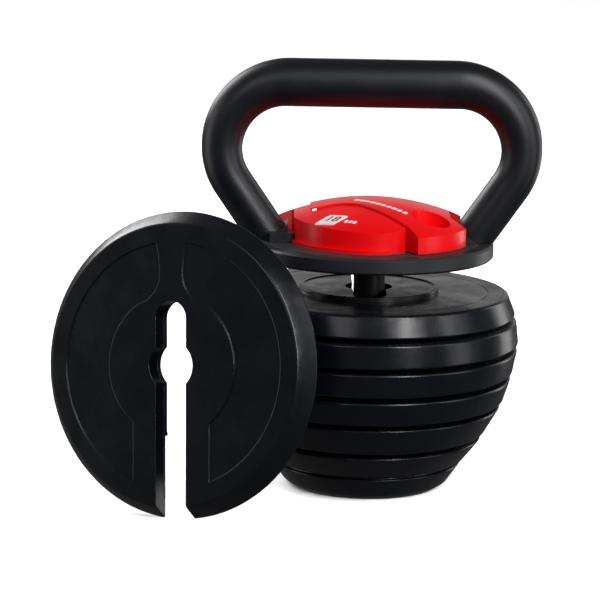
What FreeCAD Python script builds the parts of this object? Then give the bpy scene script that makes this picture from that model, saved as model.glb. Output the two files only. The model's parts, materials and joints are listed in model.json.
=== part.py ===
import FreeCAD, Part
import math
import os
import Sketcher

# Adjustable kettlebell: a stack of slotted weight plates on a flat-sided shaft between a
# round base and a head plate that carries the loop handle and a flip-up lock lever.
# Millimetres. +Z is up, the origin is on the floor under the shaft's axis, -Y is the side
# with the plates' closed slot ends, and +X is the lever's finger end.

doc = FreeCAD.newDocument("kettlebell")
Vec = FreeCAD.Vector

SIZES = {
    # stack: heights
    "base_band_low": 17.7, "base_groove": 2.1, "base_band_high": 16.8, "base_groove_depth": 3.0,
    "plate_gap": 3.4, "run_gap": 0.3, "top_space": 25.7, "head_thick": 11.1,
    # base radii, from the floor up
    "base_foot_r": 58.0, "base_low_top_r": 70.3, "base_high_low_r": 71.8, "base_top_r": 84.8,
    "edge_round": 1.2, "foot_round": 4.0,
    # plates: 1 is the top one of the stack, 5 the lowest, 6 stands beside the stack
    "plate_one_thick": 15.8, "plate_one_low_r": 106.6, "plate_one_top_r": 100.4, "plate_one_iron": 10.6,
    "plate_two_thick": 17.2, "plate_two_low_r": 109.3, "plate_two_top_r": 107.3, "plate_two_iron": 9.2,
    "plate_three_thick": 17.6, "plate_three_low_r": 105.5, "plate_three_top_r": 108.8,
    "plate_three_iron": 9.4,
    "plate_four_thick": 17.6, "plate_four_low_r": 99.3, "plate_four_top_r": 104.8, "plate_four_iron": 10.2,
    "plate_five_thick": 20.1, "plate_five_low_r": 86.3, "plate_five_top_r": 97.9, "plate_five_iron": 13.2,
    "loose_thick": 13.8, "loose_low_r": 96.8, "loose_top_r": 106.6, "loose_iron": 9.4,
    "plate_wall": 3.0, "lid_thick": 2.2, "boss_r": 50.5, "boss_lip": 2.4, "boss_lip_rise": 0.8,
    "lid_line_share": 0.888, "lid_line_width": 0.9, "lid_line_depth": 0.6,
    # keyhole through every plate
    "slot_fit": 0.8, "slot_reach": 44.0, "hub_fit": 0.5, "slot_wall": 2.6,
    # shallow lobes in the plates' lower faces
    "lobe_share_out": 0.87, "lobe_share_in": 0.51, "lobe_side": 30.0, "lobe_depth": 1.2,
    "neck_out": 11.5, "neck_waist": 9.0, "neck_in": 26.0,
    # loose plate: the centre of its face, its turn about Z, its lean back and its roll
    "loose_x": -137.2, "loose_y": -106.4, "loose_turn": 27.6, "loose_lean": 9.6, "loose_roll": 6.1,
    # shaft and its fixings
    "shaft_flat_half": 11.0, "shaft_r": 16.5, "shaft_seat_z": 18.0, "key_fit": 0.15,
    "spigot_r": 10.0, "nut_across": 30.0, "nut_high": 9.0, "bolt_r": 5.0, "bolt_long": 34.0,
    "bolt_head_r": 9.0, "bolt_head_high": 7.5, "washer_r": 16.0, "washer_thick": 3.0, "well_r": 18.0,
    "seat_web": 4.0,
    # base inside
    "base_wall": 3.2, "base_floor": 3.4, "iron_low_r": 49.0, "iron_high_r": 61.0, "iron_step_z": 18.5,
    "foot_ring_r": 47.0, "foot_ring_wide": 8.0, "foot_ring_sunk": 1.6,
    # head and handle
    "head_r": 89.2, "head_round": 1.5, "pad_r": 80.0, "pad_in_r": 58.0, "pad_thick": 1.6,
    "rib_pitch": 5.0, "rib_cut": 1.8,
    "rib_turn": 31.0,
    "grip_r": 17.25, "leg_r": 14.65, "grip_z": 290.9, "bend_r": 47.0, "side_x": 107.35,
    "leg_lean": 34.5, "leg_foot_x": 73.5, "low_bend_r": 45.0, "tube_wall": 4.0,
    "lug_half": 15.4, "lug_in": 2.0, "handle_bolt_r": 4.0, "bolt_seat_share": 0.85,
    # red covers and lever
    "dome_rise": 30.0, "dome_rim_rise": 15.0, "dome_rim_r": 70.0, "cover_wall": 2.6,
    "lever_r": 75.0, "wing_x": 67.0, "wing_y": 30.0, "leg_notch_x": 56.5, "leg_notch_y": 19.0,
    "floor_gap": 0.6, "front_step": 1.4, "flange_out": 2.3, "flange_high": 2.5,
    "cover_left_x": 55.0, "cover_edge_x": 42.0, "lever_edge_x": 38.5, "cover_end_y": 21.0, "end_gap": 0.5,
    "lever_lip": 1.0, "lever_lip_x": 43.5,
    "finger_x": 41.6, "finger_y": -34.0, "finger_r": 14.0, "finger_wall": 2.0, "finger_floor_rise": 5.3,
    "hinge_x": -46.5, "hinge_rise": 9.5, "hinge_pin_r": 2.0, "knuckle_r": 4.5, "ear_in": 4.5,
    "ear_thick": 3.0, "pin_play": 0.06, "pin_end": 0.5, "bracket_floor": 3.5,
    "strap_near_y": 16.5, "strap_far_y": 23.0, "strap_left_x": 72.0, "strap_high": 7.0,
    "badge_thick": 0.9, "badge_wide": 13.5, "badge_deep": 13.0, "badge_x": -28.6, "badge_y": -45.0,
    # lock yoke under the lever
    "yoke_pin_x": 22.0, "yoke_pin_r": 3.5, "yoke_half_y": 7.0, "yoke_thick": 4.0, "yoke_left": 32.0,
    "yoke_over_nut": 2.5, "yoke_below": 4.9, "yoke_play": 0.3, "lift_arm": 18.0, "lift_pin_r": 2.0,
    "lift_play": 0.8, "rib_thick": 3.0, "bush_wall": 1.8,
    "spring_wire_r": 0.7, "spring_turns": 3.0, "spring_pitch": 1.7,
}


def fill_sheet():
    """Write every size into the sheet, one alias to a row."""
    sheet = doc.addObject("Spreadsheet::Sheet", "sizes")
    for row, (alias, number) in enumerate(SIZES.items(), start=1):
        sheet.set(f"A{row}", alias)
        sheet.set(f"B{row}", str(number))
        sheet.setAlias(f"B{row}", alias)
    doc.recompute()
    return sheet


class Dim:
    """A length with its number and the sheet expression that gives it."""

    def __init__(self, number, text):
        self.number = number
        self.text = text

    def joined(self, sign, other, number):
        return Dim(number, f"({self.text} {sign} {other.text})")

    def __add__(self, other):
        other = dim(other)
        return self.joined("+", other, self.number + other.number)

    def __sub__(self, other):
        other = dim(other)
        return self.joined("-", other, self.number - other.number)

    def __mul__(self, other):
        other = dim(other)
        return self.joined("*", other, self.number * other.number)

    def __truediv__(self, other):
        other = dim(other)
        return self.joined("/", other, self.number / other.number)

    def __neg__(self):
        return dim(0) - self


def dim(value):
    """Any number as a Dim."""
    return value if isinstance(value, Dim) else Dim(float(value), repr(float(value)))


def leg_of(long_side, side):
    """The third side of a right triangle, such as half a chord from a radius and a distance."""
    number = math.sqrt(long_side.number ** 2 - side.number ** 2)
    return Dim(number, f"sqrt({long_side.text}^2 - {side.text}^2)")


sheet = fill_sheet()


class Sizes:
    """Reads a size from the sheet by its alias."""

    def __getattr__(self, alias):
        return Dim(float(getattr(sheet, alias)), f"sizes.{alias}")


s = Sizes()
ZERO = dim(0)
PARTS = []


# ---- sketches and features ----

def new_body(name):
    """An empty body that will be written as one sub-part."""
    body = doc.addObject("PartDesign::Body", name)
    body.Label = name
    PARTS.append(body)
    return body


def new_sketch(body, name, role, height=ZERO):
    """A sketch on one of the body's own origin planes, moved along its normal."""
    sketch = body.newObject("Sketcher::SketchObject", f"{body.Name}_{name}")
    plane = [item for item in body.Origin.OriginFeatures if item.Role == role][0]
    sketch.AttachmentSupport = [(plane, "")]
    sketch.MapMode = "FlatFace"
    sketch.setExpression("AttachmentOffset.Base.z", height.text)
    return sketch


def pin_point(sketch, edge, end, at):
    """Tie one end (or centre) of a sketch edge to a place given by two Dims."""
    for kind, place in (("DistanceX", at[0]), ("DistanceY", at[1])):
        index = sketch.addConstraint(Sketcher.Constraint(kind, -1, 1, edge, end, place.number))
        sketch.setExpression(f"Constraints[{index}]", place.text)


def add_loop(sketch, corners):
    """Closed loop of straight edges; a corner is (x, y), or (x, y, (centre x, y), way).

    The four-part form makes the edge from that corner to the next one an arc about the centre,
    counter-clockwise when way is +1.
    """
    first = sketch.GeometryCount
    count = len(corners)
    for index, corner in enumerate(corners):
        ahead = corners[(index + 1) % count]
        start = Vec(corner[0].number, corner[1].number, 0)
        end = Vec(ahead[0].number, ahead[1].number, 0)
        if len(corner) == 2:
            sketch.addGeometry(Part.LineSegment(start, end), False)
            continue
        centre = Vec(corner[2][0].number, corner[2][1].number, 0)
        radius = (start - centre).Length
        angles = [math.atan2(point.y - centre.y, point.x - centre.x) for point in (start, end)]
        if corner[3] < 0:
            angles.reverse()
        circle = Part.Circle(centre, Vec(0, 0, 1), radius)
        sketch.addGeometry(Part.ArcOfCircle(circle, angles[0], angles[1]), False)
    for index, corner in enumerate(corners):
        edge = first + index
        backwards = len(corner) == 4 and corner[3] < 0
        pin_point(sketch, edge, 2 if backwards else 1, corner[:2])
        before = corners[index - 1]
        edge_before = first + (index - 1) % count
        end_before = 1 if len(before) == 4 and before[3] < 0 else 2
        sketch.addConstraint(
            Sketcher.Constraint("Coincident", edge_before, end_before, edge, 2 if backwards else 1)
        )
        if len(corner) == 4:
            tie_arc_centre(sketch, edge, corner, corners[(index + 1) % count])


def tie_arc_centre(sketch, edge, corner, ahead):
    """Tie an arc's centre along the chord's normal; the ends already settle the other way."""
    upright = abs(corner[1].number - ahead[1].number) > abs(corner[0].number - ahead[0].number)
    kind, place = ("DistanceX", corner[2][0]) if upright else ("DistanceY", corner[2][1])
    index = sketch.addConstraint(Sketcher.Constraint(kind, -1, 1, edge, 3, place.number))
    sketch.setExpression(f"Constraints[{index}]", place.text)


def add_circle(sketch, radius, centre=(ZERO, ZERO)):
    """A circle tied to its radius and centre."""
    place = Vec(centre[0].number, centre[1].number, 0)
    edge = sketch.addGeometry(Part.Circle(place, Vec(0, 0, 1), radius.number), False)
    pin_point(sketch, edge, 3, centre)
    index = sketch.addConstraint(Sketcher.Constraint("Radius", edge, radius.number))
    sketch.setExpression(f"Constraints[{index}]", radius.text)


def add_slot(sketch, half, reach, far):
    """A slot along Y: round closed end at -reach, square open end at far."""
    turn = half - reach
    add_loop(sketch, [
        (-half, far),
        (-half, turn, (ZERO, turn), 1),
        (half, turn),
        (half, far),
    ])


def add_double_d(sketch, round_r, flat_half):
    """A round section with two flats that face +X and -X."""
    corner = leg_of(round_r, flat_half)
    middle = (ZERO, ZERO)
    add_loop(sketch, [
        (flat_half, -corner),
        (flat_half, corner, middle, 1),
        (-flat_half, corner),
        (-flat_half, -corner, middle, 1),
    ])


def finish_feature(body, feature, grows):
    """Recompute and make sure that the feature added or removed material."""
    before = body.Shape.Volume if not body.Shape.isNull() else 0.0
    doc.recompute()
    change = body.Shape.Volume - before
    if (change > 0) != grows or abs(change) < 1e-6:
        raise ValueError(f"{feature.Label} changed nothing or pointed the wrong way")
    return feature


def pad(body, sketch, height):
    """Extrude a sketch upwards."""
    feature = body.newObject("PartDesign::Pad", f"{sketch.Name}_pad")
    feature.Profile = sketch
    feature.setExpression("Length", height.text)
    sketch.Visibility = False
    return finish_feature(body, feature, True)


def cut(body, sketch, depth, up=True):
    """Pocket a sketch; up cuts along the sketch's normal."""
    feature = body.newObject("PartDesign::Pocket", f"{sketch.Name}_cut")
    feature.Profile = sketch
    feature.Reversed = up
    feature.setExpression("Length", depth.text)
    return finish_feature(body, feature, False)


def revolve(body, sketch):
    """Turn a sketch all the way about its own vertical axis."""
    feature = body.newObject("PartDesign::Revolution", f"{sketch.Name}_turn")
    feature.Profile = sketch
    feature.ReferenceAxis = (sketch, ["V_Axis"])
    feature.Angle = 360
    return finish_feature(body, feature, True)


def groove(body, sketch):
    """Cut a ring by turning a sketch about its own vertical axis."""
    feature = body.newObject("PartDesign::Groove", f"{sketch.Name}_ring")
    feature.Profile = sketch
    feature.ReferenceAxis = (sketch, ["V_Axis"])
    feature.Angle = 360
    return finish_feature(body, feature, False)


def turned(name, corners):
    """A body made by turning one outline about Z."""
    body = new_body(name)
    sketch = new_sketch(body, "outline", "XZ_Plane")
    add_loop(sketch, corners)
    revolve(body, sketch)
    return body


def padded(body, name, low, height, draw, *args):
    """Pad whatever draw puts in a sketch at height low."""
    sketch = new_sketch(body, name, "XY_Plane", low)
    draw(sketch, *args)
    return pad(body, sketch, height)


def cut_through(body, name, low, high, draw, *args):
    """Cut whatever draw puts in a sketch, from just under low to just over high."""
    sketch = new_sketch(body, name, "XY_Plane", low - 1)
    draw(sketch, *args)
    return cut(body, sketch, high - low + 2)


def cylinder(name, radius, low, high, x=ZERO, y=ZERO):
    """An upright cylinder tied to the sheet."""
    solid = doc.addObject("Part::Cylinder", name)
    solid.setExpression("Radius", radius.text)
    solid.setExpression("Height", (high - low).text)
    for axis, place in (("x", x), ("y", y), ("z", low)):
        solid.setExpression(f"Placement.Base.{axis}", place.text)
    return solid


def cross_cylinder(name, radius, half, x, z, y=ZERO):
    """A cylinder along Y, half long on each side of y."""
    solid = doc.addObject("Part::Cylinder", name)
    solid.setExpression("Radius", radius.text)
    solid.setExpression("Height", (half * 2).text)
    solid.Placement.Rotation = FreeCAD.Rotation(Vec(1, 0, 0), -90)
    for axis, place in (("x", x), ("y", y - half), ("z", z)):
        solid.setExpression(f"Placement.Base.{axis}", place.text)
    return solid


def block(name, low, high):
    """A box between two corners tied to the sheet."""
    solid = doc.addObject("Part::Box", name)
    for side, start, end in zip(("Length", "Width", "Height"), low, high):
        solid.setExpression(side, (end - start).text)
    for axis, start in zip("xyz", low):
        solid.setExpression(f"Placement.Base.{axis}", start.text)
    return solid


def joined_solids(name, pieces):
    """One object from several that overlap."""
    fuse = doc.addObject("Part::MultiFuse", name)
    fuse.Shapes = pieces
    return fuse


def grouped(name, pieces):
    """One sub-part from several separate solids."""
    group = doc.addObject("Part::Compound", name)
    group.Links = pieces
    return group


def minus(name, base, tool):
    """Base with tool cut away."""
    result = doc.addObject("Part::Cut", name)
    result.Base = base
    result.Tool = tool
    return result


def keep(solid, name):
    """Mark an object as a sub-part under its own name."""
    solid.Label = name
    PARTS.append(solid)
    return solid


def shaped(name, shape):
    """A sub-part whose freeform shape is worked out by the functions below."""
    feature = doc.addObject("Part::Feature", name)
    feature.Shape = shape
    return keep(feature, name)


# ---- heights up the stack ----

SLOT_HALF = s.shaft_flat_half + s.slot_fit
HUB_BORE_R = s.shaft_r + s.hub_fit
LOW_GROOVE_Z = s.base_band_low
HIGH_BAND_Z = LOW_GROOVE_Z + s.base_groove
BASE_TOP_Z = HIGH_BAND_Z + s.base_band_high
BOSS_HIGH = s.plate_gap - s.run_gap
WORDS = {1: "one", 2: "two", 3: "three", 4: "four", 5: "five"}


def plate_sizes(stem):
    """Thickness, lower radius, upper radius and iron height of one plate."""
    return [getattr(s, f"{stem}_{what}") for what in ("thick", "low_r", "top_r", "iron")]


def stack_heights():
    """The lower face of each stacked plate, by its number, and the top of the stack."""
    heights = {}
    level = BASE_TOP_Z
    for number in (5, 4, 3, 2, 1):
        heights[number] = level + s.plate_gap
        level = heights[number] + getattr(s, f"plate_{WORDS[number]}_thick")
    return heights, level


PLATE_Z, STACK_TOP_Z = stack_heights()
HEAD_LOW_Z = STACK_TOP_Z + s.top_space
HEAD_TOP_Z = HEAD_LOW_Z + s.head_thick
HINGE_Z = HEAD_TOP_Z + s.hinge_rise


# ---- plates ----

def plate_outline(low, thick, low_r, top_r):
    """Half section of a plate's tapered disc with its edges broken."""
    slope = (top_r - low_r) / thick
    top = low + thick
    edge = s.edge_round
    return [
        (ZERO, low),
        (low_r - edge, low),
        (low_r + slope * edge, low + edge),
        (top_r - slope * edge, top - edge),
        (top_r - edge, top),
        (ZERO, top),
    ]


def cavity_radius(low_r, top_r):
    """Radius of the iron inside: the narrower end of the plate less its wall."""
    return (low_r if low_r.number < top_r.number else top_r) - s.plate_wall


def neck_centre(waist, reach, far_y, middle_y):
    """Centre of the arc from the neck's waist, where it is upright, out to (reach, far_y)."""
    across = reach - waist
    along = far_y - middle_y
    return (across * across + along * along) / (across * 2) + waist


def draw_lobes(sketch, face_r):
    """Two shallow lobes beside the slot, with a waisted neck between them at its closed end."""
    outer = face_r * s.lobe_share_out
    inner = face_r * s.lobe_share_in
    outer_y = leg_of(outer, s.lobe_side)
    inner_y = leg_of(inner, s.lobe_side)
    neck_outer_y = leg_of(outer, s.neck_out)
    neck_inner_y = leg_of(inner, s.neck_in)
    waist_y = (neck_outer_y + neck_inner_y) / 2
    flare_x = neck_centre(s.neck_waist, s.neck_in, neck_inner_y, waist_y)
    foot_x = neck_centre(s.neck_waist, s.neck_out, neck_outer_y, waist_y)
    middle = (ZERO, ZERO)
    for side in (1, -1):
        add_loop(sketch, [
            (s.lobe_side * side, outer_y),
            (s.lobe_side * side, inner_y, middle, -side),
            (s.neck_in * side, -neck_inner_y, (flare_x * side, -waist_y), side),
            (s.neck_waist * side, -waist_y, (foot_x * side, -waist_y), side),
            (s.neck_out * side, -neck_outer_y, middle, side),
        ])


def plate_shell(name, low, stem):
    """Moulded tray: tapered wall, floor with the lobes, and the wall round the keyhole."""
    thick, low_r, top_r, iron = plate_sizes(stem)
    top = low + thick
    floor = top - s.lid_thick - iron
    cavity = cavity_radius(low_r, top_r)
    body = turned(name, plate_outline(low, thick, low_r, top_r))
    hollow = new_sketch(body, "hollow", "XY_Plane", top)
    add_circle(hollow, cavity)
    cut(body, hollow, top - floor, up=False)
    rise = top - s.lid_thick - floor
    far = cavity + s.plate_wall / 3
    padded(body, "slot_wall", floor, rise, add_slot, SLOT_HALF + s.slot_wall,
           s.slot_reach + s.slot_wall, far)
    padded(body, "hub_wall", floor, rise, add_circle, HUB_BORE_R + s.slot_wall)
    widest = low_r + s.plate_wall * 8
    cut_through(body, "slot", low, top, add_slot, SLOT_HALF, s.slot_reach, widest)
    cut_through(body, "hub", low, top, add_circle, HUB_BORE_R)
    lobes = new_sketch(body, "lobes", "XY_Plane", low)
    draw_lobes(lobes, low_r)
    cut(body, lobes, s.lobe_depth)
    return body


def plate_iron(name, low, stem):
    """Cast-iron disc that fills the tray under its lid."""
    thick, low_r, top_r, iron = plate_sizes(stem)
    cavity = cavity_radius(low_r, top_r)
    floor = low + thick - s.lid_thick - iron
    body = new_body(name)
    padded(body, "disc", floor, iron, add_circle, cavity)
    cut_through(body, "slot", floor, floor + iron, add_slot, SLOT_HALF + s.slot_wall,
                s.slot_reach + s.slot_wall, cavity + s.plate_wall)
    cut_through(body, "hub", floor, floor + iron, add_circle, HUB_BORE_R + s.slot_wall)
    return body


def lid_outline(low, lid_r):
    """Half section of a lid: flat, a ring line, and a boss with a raised lip at its edge."""
    line_r = lid_r * s.lid_line_share
    top = low + s.lid_thick
    boss_top = top + BOSS_HIGH
    line = line_r - s.lid_line_width
    return [
        (ZERO, low),
        (lid_r, low),
        (lid_r, top),
        (line_r, top),
        (line_r, top - s.lid_line_depth),
        (line, top - s.lid_line_depth),
        (line, top),
        (s.boss_r, top),
        (s.boss_r, boss_top - 0.5),
        (s.boss_r - 0.5, boss_top),
        (s.boss_r - s.boss_lip, boss_top),
        (s.boss_r - s.boss_lip - s.boss_lip_rise, boss_top - s.boss_lip_rise),
        (ZERO, boss_top - s.boss_lip_rise),
    ]


def plate_lid(name, low, stem):
    """Moulded lid that closes the tray and carries the spacing boss."""
    thick, low_r, top_r, _ = plate_sizes(stem)
    cavity = cavity_radius(low_r, top_r)
    seat = low + thick - s.lid_thick
    body = turned(name, lid_outline(seat, cavity))
    top = seat + s.lid_thick + BOSS_HIGH
    cut_through(body, "slot", seat, top, add_slot, SLOT_HALF, s.slot_reach, cavity + s.plate_wall)
    cut_through(body, "hub", seat, top, add_circle, HUB_BORE_R)
    return body


def plate(prefix, low, stem):
    """All the pieces of one plate."""
    return [
        plate_shell(f"{prefix}_shell", low, stem),
        plate_iron(f"{prefix}_iron", low, stem),
        plate_lid(f"{prefix}_lid", low, stem),
    ]


def stand_loose_plate(pieces):
    """Stand the sixth plate on its back rim: face to the front left, slot's open end down."""
    lean = math.radians(s.loose_lean.number)
    slope = (s.loose_top_r - s.loose_low_r).number / s.loose_thick.number
    edge = s.edge_round.number
    rim_r = s.loose_top_r.number - slope * edge
    rim_back = s.loose_thick.number - edge
    height = rim_r * math.cos(lean) + rim_back * math.sin(lean)
    roll = FreeCAD.Rotation(Vec(0, 0, 1), -s.loose_roll.number)
    upright = FreeCAD.Rotation(Vec(1, 0, 0), -90 - s.loose_lean.number)
    turn = FreeCAD.Rotation(Vec(0, 0, 1), -s.loose_turn.number)
    place = Vec(s.loose_x.number, s.loose_y.number, height)
    for piece in pieces:
        piece.Placement = FreeCAD.Placement(place, turn.multiply(upright).multiply(roll))


# ---- base ----

def base_shell():
    """Lower tray in two bands with a groove between them, hollow for the iron."""
    edge = s.edge_round
    low_slope = (s.base_low_top_r - s.base_foot_r) / s.base_band_low
    high_slope = (s.base_top_r - s.base_high_low_r) / s.base_band_high
    body = turned("base_shell", [
        (ZERO, ZERO),
        (s.base_foot_r - s.foot_round, ZERO),
        (s.base_foot_r - s.foot_round * 0.3, s.foot_round * 0.3),
        (s.base_foot_r + low_slope * s.foot_round, s.foot_round),
        (s.base_low_top_r - low_slope * edge, LOW_GROOVE_Z - edge),
        (s.base_low_top_r - edge, LOW_GROOVE_Z),
        (s.base_low_top_r - s.base_groove_depth, LOW_GROOVE_Z),
        (s.base_low_top_r - s.base_groove_depth, HIGH_BAND_Z),
        (s.base_high_low_r - edge, HIGH_BAND_Z),
        (s.base_high_low_r + high_slope * edge, HIGH_BAND_Z + edge),
        (s.base_top_r - high_slope * edge, BASE_TOP_Z - edge),
        (s.base_top_r - edge, BASE_TOP_Z),
        (ZERO, BASE_TOP_Z),
    ])
    hollow = new_sketch(body, "hollow", "XZ_Plane")
    add_loop(hollow, [
        (ZERO, s.base_floor),
        (s.iron_low_r, s.base_floor),
        (s.iron_low_r, s.iron_step_z),
        (s.iron_high_r, s.iron_step_z),
        (s.iron_high_r, BASE_TOP_Z - s.lid_thick),
        (s.base_top_r - s.base_wall, BASE_TOP_Z - s.lid_thick),
        (s.base_top_r - s.base_wall, BASE_TOP_Z + 1),
        (ZERO, BASE_TOP_Z + 1),
    ])
    groove(body, hollow)
    well = new_sketch(body, "well", "XY_Plane", s.base_floor + 1)
    add_circle(well, s.well_r)
    cut(body, well, s.base_floor + 2, up=False)
    ring = new_sketch(body, "ring", "XZ_Plane")
    add_loop(ring, [
        (s.foot_ring_r, -dim(1)),
        (s.foot_ring_r + s.foot_ring_wide, -dim(1)),
        (s.foot_ring_r + s.foot_ring_wide, s.foot_ring_sunk),
        (s.foot_ring_r, s.foot_ring_sunk),
    ])
    if s.foot_ring_sunk.number < s.base_floor.number:
        groove(body, ring)
    return body


def base_iron():
    """Stepped cast-iron weight, keyed to the shaft and open below for the bolt's head."""
    top = BASE_TOP_Z - s.lid_thick
    body = turned("base_iron", [
        (ZERO, s.base_floor),
        (s.iron_low_r, s.base_floor),
        (s.iron_low_r, s.iron_step_z),
        (s.iron_high_r, s.iron_step_z),
        (s.iron_high_r, top),
        (ZERO, top),
    ])
    web_low = s.shaft_seat_z - s.seat_web
    well = new_sketch(body, "well", "XY_Plane", web_low)
    add_circle(well, s.well_r)
    cut(body, well, web_low - s.base_floor + 1, up=False)
    cut_through(body, "bolt_hole", s.base_floor, top, add_circle, s.bolt_r + 0.5)
    key = new_sketch(body, "key", "XY_Plane", s.shaft_seat_z)
    add_double_d(key, s.shaft_r + s.key_fit, s.shaft_flat_half + s.key_fit)
    cut(body, key, top - s.shaft_seat_z + 1)
    return body


def base_lid():
    """Lid of the base with the boss that the lowest plate turns on."""
    seat = BASE_TOP_Z - s.lid_thick
    body = turned("base_lid", lid_outline(seat, s.base_top_r - s.base_wall))
    cut_through(body, "key", seat, BASE_TOP_Z + BOSS_HIGH, add_double_d,
                s.shaft_r + s.key_fit, s.shaft_flat_half + s.key_fit)
    return body


def foot_ring():
    """Rubber ring let into the base's underside; it is flush with the floor."""
    return turned("foot_ring", [
        (s.foot_ring_r, ZERO),
        (s.foot_ring_r + s.foot_ring_wide, ZERO),
        (s.foot_ring_r + s.foot_ring_wide, s.foot_ring_sunk),
        (s.foot_ring_r, s.foot_ring_sunk),
    ])


# ---- shaft and its fixings ----

def shaft():
    """Double-flatted steel bar with a round spigot that passes through the head."""
    body = new_body("shaft")
    padded(body, "bar", s.shaft_seat_z, HEAD_LOW_Z - s.shaft_seat_z, add_double_d,
           s.shaft_r, s.shaft_flat_half)
    padded(body, "spigot", HEAD_LOW_Z, s.head_thick + s.nut_high, add_circle, s.spigot_r)
    cut_through(body, "tapped", s.shaft_seat_z, s.shaft_seat_z + s.bolt_long, add_circle, s.bolt_r)
    return body


def shaft_nut():
    """Hexagon nut on the spigot."""
    body = new_body("shaft_nut")
    sketch = new_sketch(body, "hexagon", "XY_Plane", HEAD_TOP_Z)
    corner = s.nut_across / math.sqrt(3)
    points = []
    for index in range(6):
        angle = math.radians(60 * index)
        points.append((corner * math.cos(angle), corner * math.sin(angle)))
    add_loop(sketch, points)
    pad(body, sketch, s.nut_high)
    cut_through(body, "thread", HEAD_TOP_Z, HEAD_TOP_Z + s.nut_high, add_circle, s.spigot_r)
    return body


def shaft_bolt():
    """Socket-head bolt that pulls the shaft down into the base."""
    under = s.shaft_seat_z - s.seat_web - s.washer_thick
    low = under - s.bolt_head_high
    body = new_body("shaft_bolt")
    padded(body, "head", low, s.bolt_head_high, add_circle, s.bolt_head_r)
    padded(body, "shank", under, s.shaft_seat_z - under + s.bolt_long, add_circle, s.bolt_r)
    socket = new_sketch(body, "socket", "XY_Plane", low - 1)
    corner = s.bolt_r
    add_loop(socket, [(corner * math.cos(math.radians(60 * k)), corner * math.sin(math.radians(60 * k)))
                      for k in range(6)])
    cut(body, socket, s.bolt_head_high / 2 + 1)
    return body


def shaft_washer():
    """Flat washer between the bolt's head and the iron's web."""
    high = s.shaft_seat_z - s.seat_web
    body = new_body("shaft_washer")
    padded(body, "disc", high - s.washer_thick, s.washer_thick, add_circle, s.washer_r)
    cut_through(body, "hole", high - s.washer_thick, high, add_circle, s.bolt_r + 0.3)
    return body


# ---- head and handle ----

LEAN = math.radians(s.leg_lean.number)
LEG_DOWN = Vec(-math.sin(LEAN), 0, -math.cos(LEAN))
ACROSS_LEG = Vec(math.cos(LEAN), 0, -math.sin(LEAN))


def handle_points():
    """Centreline of the handle's right half: grip end, side, bend end and foot."""
    grip_z = s.grip_z.number
    side_x = s.side_x.number
    bend = s.bend_r.number
    low_bend = s.low_bend_r.number
    side_z = grip_z - bend
    bend_end = Vec(side_x - low_bend * (1 - math.cos(LEAN)), 0, side_z - low_bend * math.sin(LEAN))
    along = (bend_end.x - s.leg_foot_x.number) / math.sin(LEAN)
    foot = bend_end + LEG_DOWN * along
    return Vec(side_x - bend, 0, grip_z), Vec(side_x, 0, side_z), bend_end, foot


def mirrored(shape):
    """The same shape on the other side of the YZ plane."""
    return shape.mirror(Vec(0, 0, 0), Vec(1, 0, 0))


def handle_core(wall):
    """The whole handle as one solid, its radius less by wall."""
    grip_end, side, bend_end, foot = handle_points()
    bend = s.bend_r.number
    low_bend = s.low_bend_r.number
    grip_r = s.grip_r.number - wall
    leg_r = s.leg_r.number - wall
    eighth = math.radians(45)
    upper_mid = Vec(grip_end.x + bend * math.sin(eighth), 0, side.z + bend * math.cos(eighth))
    half = LEAN / 2
    lower_mid = Vec(side.x - low_bend * (1 - math.cos(half)), 0, side.z - low_bend * math.sin(half))
    grip = Part.makeCylinder(grip_r, 2 * grip_end.x, Vec(-grip_end.x, 0, grip_end.z), Vec(1, 0, 0))
    upper_path = Part.Wire([Part.Arc(grip_end, upper_mid, side).toShape()])
    sweep = Part.BRepOffsetAPI.MakePipeShell(upper_path)
    for centre, along, radius in ((grip_end, Vec(1, 0, 0), grip_r), (side, Vec(0, 0, -1), leg_r)):
        sweep.add(Part.Wire([Part.Circle(centre, along, radius).toShape()]), False, False)
    sweep.build()
    sweep.makeSolid()
    lower_path = Part.Wire([
        Part.Arc(side, lower_mid, bend_end).toShape(),
        Part.LineSegment(bend_end, foot).toShape(),
    ])
    ring = Part.Wire([Part.Circle(side, Vec(0, 0, -1), leg_r).toShape()])
    half_shape = sweep.shape().fuse(lower_path.makePipeShell([ring], True, False))
    return grip.multiFuse([half_shape, mirrored(half_shape)])


def handle():
    """Bent steel tube, closed at its feet, thicker along the grip."""
    foot = handle_points()[3]
    outer = handle_core(0.0)
    wall = s.tube_wall.number
    inner = handle_core(wall)
    for side in (1, -1):
        start = Vec(foot.x * side, 0, foot.z)
        down = Vec(LEG_DOWN.x * side, 0, LEG_DOWN.z)
        plug = Part.makeCylinder(s.leg_r.number, wall * 2, start - down * wall * 2, down)
        inner = inner.cut(plug)
        bolt = Part.makeCylinder(s.handle_bolt_r.number, wall * 4, start - down * wall * 3, down)
        outer = outer.cut(bolt)
    return shaped("handle", outer.cut(inner).removeSplitter())


def leg_space(side, extra):
    """The room that a leg and the air above it take, for seats in the head."""
    foot = handle_points()[3]
    start = Vec(foot.x * side, 0, foot.z)
    up = Vec(-LEG_DOWN.x * side, 0, -LEG_DOWN.z)
    return Part.makeCylinder(s.leg_r.number + extra, 2 * s.leg_r.number, start, up)


def bolt_space(side, extra):
    """The hole for a handle bolt, along the leg's axis and out under the head."""
    foot = handle_points()[3]
    start = Vec(foot.x * side, 0, foot.z)
    down = Vec(LEG_DOWN.x * side, 0, LEG_DOWN.z)
    reach = s.head_thick.number * 2
    return Part.makeCylinder(s.handle_bolt_r.number + extra, reach, start - down, down)


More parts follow.
